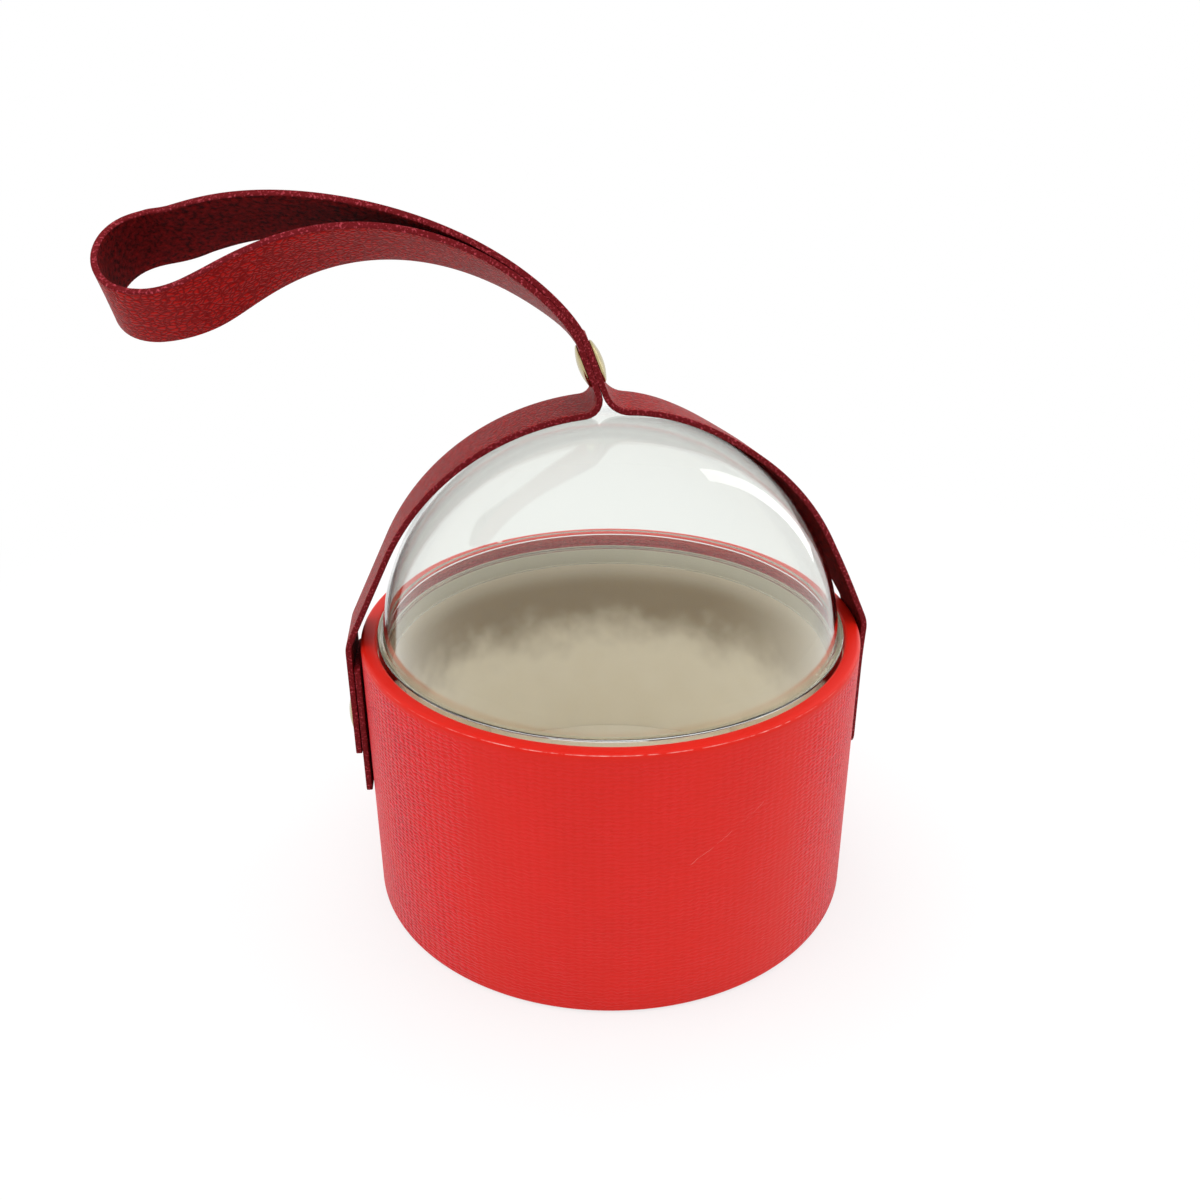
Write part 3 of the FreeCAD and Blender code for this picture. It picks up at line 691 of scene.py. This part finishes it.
tab_low, tab_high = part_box("anchor_tab")
tab_x = (tab_low.x + tab_high.x) / 2
tab_points = with_corner_points(line_points(flat(tab_x, tab_low.z), flat(tab_x, tab_high.z)), TAB_CORNER)
tab_turns = [math.pi / 2 * i / CORNER_STEPS for i in range(CORNER_STEPS + 1)]
tab_top = [flat(tab_x, tab_high.z - TAB_CORNER * math.cos(turn)) for turn in tab_turns]
tab_points = [point for point in tab_points if point.z < tab_top[0].z - STRAP_STEP / 2] + tab_top
tab = strap_band("leather_tab", band_stations(tab_points, -1, untwisted, TAB_CORNER, TAB_CORNER))
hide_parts("anchor_tab")
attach(tab, "drum")


# Strap over the lid
# One band rises from each side wall, leaves the rim in a soft bend, follows the dome with a
# small gap and turns up at the crown, where a rivet pinches the two halves together.

FIXED_CORNER = 3 * MM
FREE_CORNER = 1 * MM
LEFT_LID_GAP = 2 * MM
RIGHT_LID_GAP = 0.3 * MM
RIGHT_CROWN_LIFT = 1.9 * MM
RIM_BEND = 6 * MM
RIM_BEND_RISE = 0.5 * MM
LEFT_FILLET = 2.6 * MM
RIGHT_FILLET = 5 * MM
PINCH_GAP = 0.02 * MM
PINCH_LEAN = math.radians(20)
PINCH_RISE = 0.15 * MM
RIGHT_TWIST = 8
TWIST_START = 20 * MM
TWIST_END = 10 * MM
TWIST_EASE = 30 * MM
PIT_RADIUS = 2.5 * MM
PIT_DEPTH = 1.0 * MM
PIT_SEGMENTS = 48

pinch_up = flat(-math.sin(PINCH_LEAN), math.cos(PINCH_LEAN))
pinch_right = flat(math.cos(PINCH_LEAN), math.sin(PINCH_LEAN))
post_low, post_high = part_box("pinch_rivet_post")
rivet_centre = (post_low + post_high) / 2
joints = {joint["name"]: joint for joint in frame["joints"]}
swing_pivot = Vector(joints["strap_swing"]["pos_m"])
flop_pivot = Vector(joints["handle_flop"]["pos_m"])
pinch_base = rivet_centre - pinch_up * (rivet_centre.x / pinch_up.x)
pinch_top = rivet_centre + pinch_up * ((flop_pivot - rivet_centre).dot(pinch_up) + PINCH_RISE)
lid_middle = flat(0, lid_centre)


def eased(value):
    """A smooth step from 0 to 1."""
    value = min(max(value, 0), 1)
    return value * value * (3 - 2 * value)


def top_bend_centre(side, radius, fillet):
    """Centre of the bend that turns a half of the strap from the lid up into the pinch."""
    start = pinch_base + pinch_right * (side * (PINCH_GAP / 2 + STRAP_THICKNESS + fillet))
    from_lid = start - lid_middle
    reach = radius + STRAP_THICKNESS + fillet
    along = from_lid.dot(pinch_up)
    return start + pinch_up * (math.sqrt(along ** 2 - from_lid.length_squared + reach ** 2) - along)


def arch_points(side, wall, lid_gap, crown_lift, fillet, foot):
    """The middle line of a half of the strap, from its end on the wall to the top of the pinch.

    Over the second half of its way on the lid it rises gently by crown_lift.
    """
    def mirrored(angle):
        return angle if side > 0 else math.pi - angle

    middle = STRAP_THICKNESS / 2
    radius = lid_radius + lid_gap
    bend_height = swing_pivot.z + RIM_BEND_RISE
    bend_centre = flat(side * (wall - RIM_BEND), bend_height)
    to_lid = flat(RIM_BEND - wall, lid_centre - bend_height)
    heading = math.atan2(to_lid.z, to_lid.x) + 2 * math.pi
    tangent = mirrored(heading - math.acos((RIM_BEND - radius) / to_lid.length))
    turn = top_bend_centre(side, radius + crown_lift, fillet)
    crown = math.atan2(turn.z - lid_centre, turn.x)
    turn_end = PINCH_LEAN + (math.pi if side > 0 else 0)
    start = flat(side * (wall + middle), foot)
    rim = polar(bend_centre, RIM_BEND + middle, mirrored(0))
    leave = polar(bend_centre, RIM_BEND + middle, tangent)
    meet = polar(lid_middle, radius + middle, tangent)
    rise = polar(turn, fillet + middle, turn_end)
    top = pinch_top + pinch_right * (side * (PINCH_GAP / 2 + middle))
    over = bend_points(lid_middle, radius + middle, tangent, crown)
    lifts = [crown_lift * eased(2 * i / len(over) - 1) for i in range(len(over))]
    over = [point + (point - lid_middle).normalized() * lift for point, lift in zip(over, lifts)]
    return (line_points(start, rim) + bend_points(bend_centre, RIM_BEND + middle, mirrored(0), tangent)
            + line_points(leave, meet) + over
            + bend_points(turn, fillet + middle, crown + side * math.pi, turn_end)
            + line_points(rise, top) + [top])


def right_twist(run, length):
    """The right half lies flat on the wall, leans open above the rim and is flat at the pinch."""
    opening = eased((run - TWIST_START) / TWIST_EASE)
    return RIGHT_TWIST * opening * eased((length - TWIST_END - run) / TWIST_EASE)


right_points = arch_points(1, fixed_low.x, RIGHT_LID_GAP, RIGHT_CROWN_LIFT, RIGHT_FILLET, fixed_low.z)
right_strap = strap_band("strap_right_half", band_stations(
    with_corner_points(right_points, FIXED_CORNER), 1, right_twist, FIXED_CORNER))
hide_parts("strap_fixed_end", "strap_right_arch")
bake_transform(right_strap)


def pitted(piece, centre, radius, depth):
    """Cuts a round pit into the flat inner face of a band, for the socket of the press stud."""
    place = Matrix.Translation(centre) @ Matrix.Rotation(math.pi / 2, 4, "Y")
    cutter = spun("pit", [(0, -depth), (radius, -depth), (radius, depth), (0, depth)], leather[CUT_EDGE],
                  closed=False, segments=PIT_SEGMENTS, place=place)
    cut = piece.modifiers.new("pit", "BOOLEAN")
    cut.object = cutter
    whole = piece.evaluated_get(bpy.context.evaluated_depsgraph_get())
    piece.data = bpy.data.meshes.new_from_object(whole)
    piece.modifiers.clear()
    bpy.data.objects.remove(cutter)


free_low, free_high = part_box("strap_free_end")
fastener_height = (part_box("end_rivet_cap")[0].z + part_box("end_rivet_cap")[1].z) / 2
left_points = arch_points(-1, -free_high.x, LEFT_LID_GAP, 0.0, LEFT_FILLET, free_low.z)
left_strap = strap_band("strap_left_half", band_stations(
    with_corner_points(left_points, FREE_CORNER), -1, untwisted, FREE_CORNER))
pitted(left_strap, flat(free_high.x, fastener_height), PIT_RADIUS, PIT_DEPTH)
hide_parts("strap_free_end", "strap_left_arch")
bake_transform(left_strap)


# Carrying loop
# The same strap runs on above the pinch rivet: its two layers fall over to the left, part,
# twist towards the front and meet in a round tip.

LOOP_ROOT_BEND = 8.2 * MM
LOOP_ROOT_TURN = math.radians(22.5)
LOOP_CROWN_BEND = 60.5 * MM
LOOP_CROWN_TURN = math.radians(73.7)
LOOP_END_BEND = -18 * MM
LOOP_END_RUN = 8.7 * MM
LOOP_TIP_RADIUS = 10.96 * MM
LOOP_TIP_SHARE = 0.8
LOOP_OPENING_POWER = 2.25
LOOP_TWIST = math.radians(48.2)
LOOP_TWIST_POWER = 0.6
LOOP_SLIP = 2.07 * MM
LOOP_SLIP_POWER = 3
LOOP_STATIONS = 90
TIP_STATIONS = 32
LOOP_SMOOTHING = 30

root_run = LOOP_ROOT_BEND * LOOP_ROOT_TURN
crown_run = LOOP_CROWN_BEND * LOOP_CROWN_TURN
loop_run = root_run + crown_run + LOOP_END_RUN


def spine_bend(start, heading, radius, run):
    """Follows a bend, to the left if its radius is positive, and gives its end and new heading."""
    sideways = heading - math.pi / 2
    centre = polar(start, -radius, sideways)
    return polar(centre, radius, sideways + run / radius), heading + run / radius


def loop_frame(run):
    """Spine point, its direction, the front layer's side and the width's direction."""
    point, heading = spine_bend(pinch_top, math.pi / 2 + PINCH_LEAN, LOOP_ROOT_BEND, min(run, root_run))
    crown_part = min(max(run - root_run, 0), crown_run)
    point, heading = spine_bend(point, heading, LOOP_CROWN_BEND, crown_part)
    point, heading = spine_bend(point, heading, LOOP_END_BEND, max(run - root_run - crown_run, 0))
    along = flat(math.cos(heading), math.sin(heading))
    leftward = flat(-along.z, along.x)
    twist = LOOP_TWIST * (run / loop_run) ** LOOP_TWIST_POWER
    front = leftward * math.cos(twist) - Vector((0, math.sin(twist), 0))
    across = Vector((0, math.cos(twist), 0)) + leftward * math.sin(twist)
    return point, along, front, across


def loop_opening(run):
    """Half the distance between the loop's two layers at a place on its spine."""
    closed = (PINCH_GAP + STRAP_THICKNESS) / 2
    return closed + (LOOP_TIP_RADIUS - closed) * eased((run / loop_run) ** LOOP_OPENING_POWER)


def loop_slip(run):
    """How far each layer slides sideways, the two in opposite directions."""
    return LOOP_SLIP * (run / loop_run) ** LOOP_SLIP_POWER


def layer_place(run, layer):
    """Where the front (1) or back (-1) layer's section lies at a place on the spine."""
    point, along, front, across = loop_frame(run)
    step = loop_run / LOOP_STATIONS
    ahead = min(run + step / 2, loop_run)
    behind = max(run - step / 2, 0)
    slope = (loop_opening(ahead) - loop_opening(behind)) / (ahead - behind) if run else 0.0
    outward = (front * layer - along * slope).normalized()
    middle = point + front * (layer * loop_opening(run)) - across * (layer * loop_slip(run))
    return strap_place(middle, across, outward, outward.cross(across))


def tip_place(angle):
    """Where a section lies on the round tip, by its angle from the front layer."""
    point, along, front, across = loop_frame(loop_run)
    outward = (front * (math.cos(angle) * LOOP_TIP_SHARE) + along * math.sin(angle)).normalized()
    middle = (point + front * (math.cos(angle) * LOOP_TIP_RADIUS) - across * (math.cos(angle) * LOOP_SLIP)
              + along * (math.sin(angle) * LOOP_TIP_RADIUS * LOOP_TIP_SHARE))
    return strap_place(middle, across, outward, outward.cross(across))


runs = [loop_run * i / LOOP_STATIONS for i in range(LOOP_STATIONS)]
places = [layer_place(run, 1) for run in runs]
places += [tip_place(math.pi * i / TIP_STATIONS) for i in range(TIP_STATIONS + 1)]
places += [layer_place(run, -1) for run in reversed(runs)]
centres = [place.translation.copy() for place in places]
for _ in range(LOOP_SMOOTHING):
    nearby = zip(centres, centres[1:], centres[2:])
    centres = [centres[0], *((before + 2 * here + after) / 4 for before, here, after in nearby), centres[-1]]
for index in range(1, len(places) - 1):
    along = (centres[index - 1] - centres[index + 1]).normalized()
    across = places[index].col[0].to_3d()
    across = (across - along * across.dot(along)).normalized()
    places[index] = strap_place(centres[index], across, across.cross(along), along)
loop_stations = []
travelled = 0.0
for index, place in enumerate(places):
    if index:
        travelled += (place.translation - places[index - 1].translation).length
    loop_stations.append((travelled, place, 1.0))
loop = strap_band("strap_carrying_loop", loop_stations)
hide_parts("handle_loop")
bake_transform(loop)


# Rivets and press stud
# Pressed brass caps with a rolled rim. The pinch rivet has one on each side, the right end is
# riveted through the wall, and the left end snaps onto a stud. The posts and the washer whose
# heads are inside the drum are lacquered cream.

CAP_RADIUS = 4.5 * MM
CAP_HEIGHT = 1.4 * MM
CAP_EDGE = 0.45 * MM
CAP_DOME_SHARE = 0.94
CAP_SEGMENTS = 64
CAP_STEPS = 12
SNAP_LIP = 0.08 * MM
SOCKET_RADIUS = 3.75 * MM
SOCKET_BORE = 2.35 * MM
STUD_FLANGE = 3 * MM
STUD_NECK = 1.85 * MM
STUD_RADIUS = 2.1 * MM
STUD_ROUND = 0.3 * MM
STUD_STEPS = 4
STUD_NECK_SHARE = 0.4
STUD_HEAD_SHARE = 0.6


def polished_brass():
    """Pale plated brass, polished, with fine handling scratches that break its shine."""
    material, tree = new_material("polished_brass")
    place = add(tree, "ShaderNodeTexCoord", {}).outputs["Object"]
    scuffs = add(tree, "ShaderNodeTexNoise", {"Vector": place, "Scale": per_mm(1.2), "Detail": 8.0})
    gloss = add(tree, "ShaderNodeMapRange", {"Value": scuffs.outputs["Fac"], "To Min": 0.12, "To Max": 0.36})
    tone = add(tree, "ShaderNodeMix", {
        "Factor": scuffs.outputs["Fac"], "A": linear("#A2915E"), "B": linear("#CDC195")}, data_type="RGBA")
    surface = add(tree, "ShaderNodeBsdfPrincipled", {
        "Base Color": tone.outputs["Result"], "Metallic": 1.0, "Roughness": gloss.outputs["Result"]})
    add(tree, "ShaderNodeOutputMaterial", {"Surface": surface.outputs["BSDF"]})
    return material


brass = polished_brass()
# Cream lacquer that matches the lining: hard, half gloss.
lacquer = mottled("cream_lacquer", grain=1.5, dark="#E0D6C0", light="#ECE3D0", relief=0.03, roughness=0.4)


def cap_profile():
    """A low dome with a rolled edge and a flat underside."""
    rise = CAP_HEIGHT - CAP_EDGE
    ball = (CAP_RADIUS ** 2 + rise ** 2) / (2 * rise)
    rim = math.degrees(math.acos(CAP_RADIUS * CAP_DOME_SHARE / ball))
    dome = round_corner((0, CAP_HEIGHT - ball), ball, 90, rim, CAP_STEPS)
    edge = round_corner((CAP_RADIUS - CAP_EDGE / 2, CAP_EDGE / 2), CAP_EDGE / 2, 60, -90)
    return dome + edge + [(0, 0)]


def outward_place(seat, direction):
    """The matrix that stands a turned piece on a seat with its axis in a direction."""
    place = direction.to_track_quat("Z", "Y").to_matrix().to_4x4()
    place.translation = seat
    return place


def cap(name, node, seat, direction, body):
    """A brass cap seated on the strap in place of its CAD node."""
    piece = spun(name, cap_profile(), brass, closed=False, segments=CAP_SEGMENTS,
                 place=outward_place(seat, direction))
    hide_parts(node)
    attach(piece, body)


pinch_depth = PINCH_GAP / 2 + STRAP_THICKNESS
left_seat = rivet_centre - pinch_right * pinch_depth
right_seat = rivet_centre + pinch_right * pinch_depth
cap("pinch_cap_left", "pinch_rivet_left_cap", left_seat, -pinch_right, "strap")
cap("pinch_cap_right", "pinch_rivet_right_cap", right_seat, pinch_right, "strap")
cap("end_cap_right", "end_rivet_cap", flat(fixed_high.x, fastener_height), flat(1, 0), "drum")
cap("snap_cap_left", "snap_cap", flat(free_low.x, fastener_height), flat(-1, 0), "strap_end")

socket = spun("snap_socket_cup", [
    (0, PIT_DEPTH), (PIT_RADIUS, PIT_DEPTH), (PIT_RADIUS, 0), (SOCKET_RADIUS, 0),
    (SOCKET_RADIUS, -SNAP_LIP / 2), (SOCKET_RADIUS - SNAP_LIP, -SNAP_LIP),
    (SOCKET_BORE + SNAP_LIP, -SNAP_LIP), (SOCKET_BORE, 0), (SOCKET_BORE, PIT_DEPTH - SNAP_LIP),
    (0, PIT_DEPTH - SNAP_LIP)], brass, closed=False, segments=CAP_SEGMENTS,
    place=outward_place(flat(free_high.x, fastener_height), flat(-1, 0)))
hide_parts("snap_socket")
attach(socket, "strap_end")
stud_height = tab_low.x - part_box("snap_stud")[0].x
stud = spun("snap_stud_button", [
    (0, 0), (STUD_FLANGE, 0), (STUD_FLANGE - SNAP_LIP / 2, SNAP_LIP), (STUD_NECK, SNAP_LIP * 1.5),
    (STUD_NECK, stud_height * STUD_NECK_SHARE), (STUD_RADIUS, stud_height * STUD_HEAD_SHARE),
    *round_corner((STUD_RADIUS - STUD_ROUND, stud_height - STUD_ROUND), STUD_ROUND, 0, 90, STUD_STEPS),
    (0, stud_height)], brass, closed=False, segments=CAP_SEGMENTS,
    place=outward_place(flat(tab_low.x, fastener_height), flat(-1, 0)))
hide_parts("snap_stud")
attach(stud, "drum")
dress(["pinch_rivet_post"], brass)
dress(["end_rivet_post", "end_rivet_washer", "snap_post"], lacquer)


# Studio
# A white floor and surround under one broad overhead softbox, with two side softboxes, a fill
# from the front and a narrow strip at the right that draws a bright streak on the dome.

FLOOR_SIZE = 6.0
SHADOW_REACH = 0.3
SHADOW_SHARE = 0.3
AMBIENT = 0.45
LAMP_AIM = Vector((0, 0, 60 * MM))


def seen_directly(tree):
    """1 for the rays that show the studio: from the camera, mirrored by the box or passed through it."""
    rays = add(tree, "ShaderNodeLightPath", {}).outputs
    seen = add(tree, "ShaderNodeMath", {0: rays["Is Camera Ray"], 1: rays["Is Glossy Ray"]}, operation="ADD")
    seen = add(tree, "ShaderNodeMath", {
        0: seen.outputs[0], 1: rays["Is Transmission Ray"]}, operation="ADD", use_clamp=True)
    return seen.outputs[0]


def studio_floor():
    """White card floor: it goes white away from the box and keeps a soft shadow beside it."""
    material, tree = new_material("studio_floor")
    white = add(tree, "ShaderNodeEmission", {"Color": linear("#FFFFFF"), "Strength": 1.0})
    matt = add(tree, "ShaderNodeBsdfDiffuse", {"Color": linear("#F4F4F4")})
    place = add(tree, "ShaderNodeTexCoord", {}).outputs["Object"]
    away = add(tree, "ShaderNodeVectorMath", {0: place}, operation="LENGTH")
    glow = add(tree, "ShaderNodeMapRange", {
        "Value": away.outputs["Value"], "From Min": DRUM_RADIUS, "From Max": SHADOW_REACH,
        "To Min": 1 - SHADOW_SHARE, "To Max": 1.0}, interpolation_type="SMOOTHSTEP")
    share = add(tree, "ShaderNodeMath", {
        0: seen_directly(tree), 1: glow.outputs["Result"]}, operation="MULTIPLY")
    mixed = add(tree, "ShaderNodeMixShader", {
        0: share.outputs[0], 1: matt.outputs["BSDF"], 2: white.outputs["Emission"]})
    add(tree, "ShaderNodeOutputMaterial", {"Surface": mixed.outputs["Shader"]})
    return material


ground = bmesh.new()
bmesh.ops.create_grid(ground, x_segments=1, y_segments=1, size=FLOOR_SIZE / 2)
studio = finish_piece("studio_floor", ground, [studio_floor()])

world = bpy.data.worlds.new("studio")
world.use_nodes = True
surround = world.node_tree
surround.nodes.clear()
level = add(surround, "ShaderNodeMapRange", {
    "Value": seen_directly(surround), "To Min": AMBIENT, "To Max": 1.0})
sky = add(surround, "ShaderNodeBackground", {
    "Color": linear("#FFFFFF"), "Strength": level.outputs["Result"]})
add(surround, "ShaderNodeOutputWorld", {"Surface": sky.outputs["Background"]})
bpy.context.scene.world = world


def softbox(name, place, width, height, power, mirrored=False):
    """An area lamp aimed at the middle of the box; shiny surfaces show it only if mirrored."""
    lamp = bpy.data.lights.new(name, "AREA")
    lamp.shape = "RECTANGLE"
    lamp.energy = power
    lamp.size = width
    lamp.size_y = height
    stand = bpy.data.objects.new(name, lamp)
    stand.location = place
    stand.visible_glossy = mirrored
    stand.visible_transmission = False
    stand.rotation_euler = (LAMP_AIM - stand.location).to_track_quat("-Z", "Y").to_euler()
    bpy.context.scene.collection.objects.link(stand)


softbox("overhead_softbox", Vector((-0.1, 0.1, 1.0)), 1.2, 1.2, 9.0)
softbox("left_softbox", Vector((-0.9, -0.1, 0.5)), 0.9, 0.9, 2.4)
softbox("right_softbox", Vector((0.9, -0.1, 0.5)), 0.9, 0.9, 2.4)
softbox("front_fill", Vector((0.1, -1.0, 0.6)), 1.0, 1.0, 2.3)
softbox("edge_strip", Vector((0.5, 0.4, 0.3)), 0.08, 0.6, 0.35, mirrored=True)


# Camera
# It looks down at the box from in front, a little from the left, close enough for strong
# perspective. Worked out from the drum's rim and base in a square picture.

CAMERA_DISTANCE = 266.9 * MM
CAMERA_RISE = math.radians(25.81)
CAMERA_SWING = math.radians(6)
CAMERA_AIM = Vector((0, 0, 67.45 * MM))
PICTURE_PIXELS = 1200
FOCAL_PIXELS = 1204
SHIFT_PIXELS = -10.5

camera = bpy.data.objects.new("camera", bpy.data.cameras.new("camera"))
camera.data.sensor_width = 36
camera.data.lens = FOCAL_PIXELS / PICTURE_PIXELS * camera.data.sensor_width
camera.data.shift_x = SHIFT_PIXELS / PICTURE_PIXELS
camera.data.clip_start = 0.01
back = Vector((-math.sin(CAMERA_SWING) * math.cos(CAMERA_RISE),
               -math.cos(CAMERA_SWING) * math.cos(CAMERA_RISE), math.sin(CAMERA_RISE)))
camera.location = CAMERA_AIM + back * CAMERA_DISTANCE
camera.rotation_euler = (-back).to_track_quat("-Z", "Y").to_euler()
bpy.context.scene.collection.objects.link(camera)
bpy.context.scene.camera = camera
bpy.context.scene.view_settings.view_transform = "Standard"
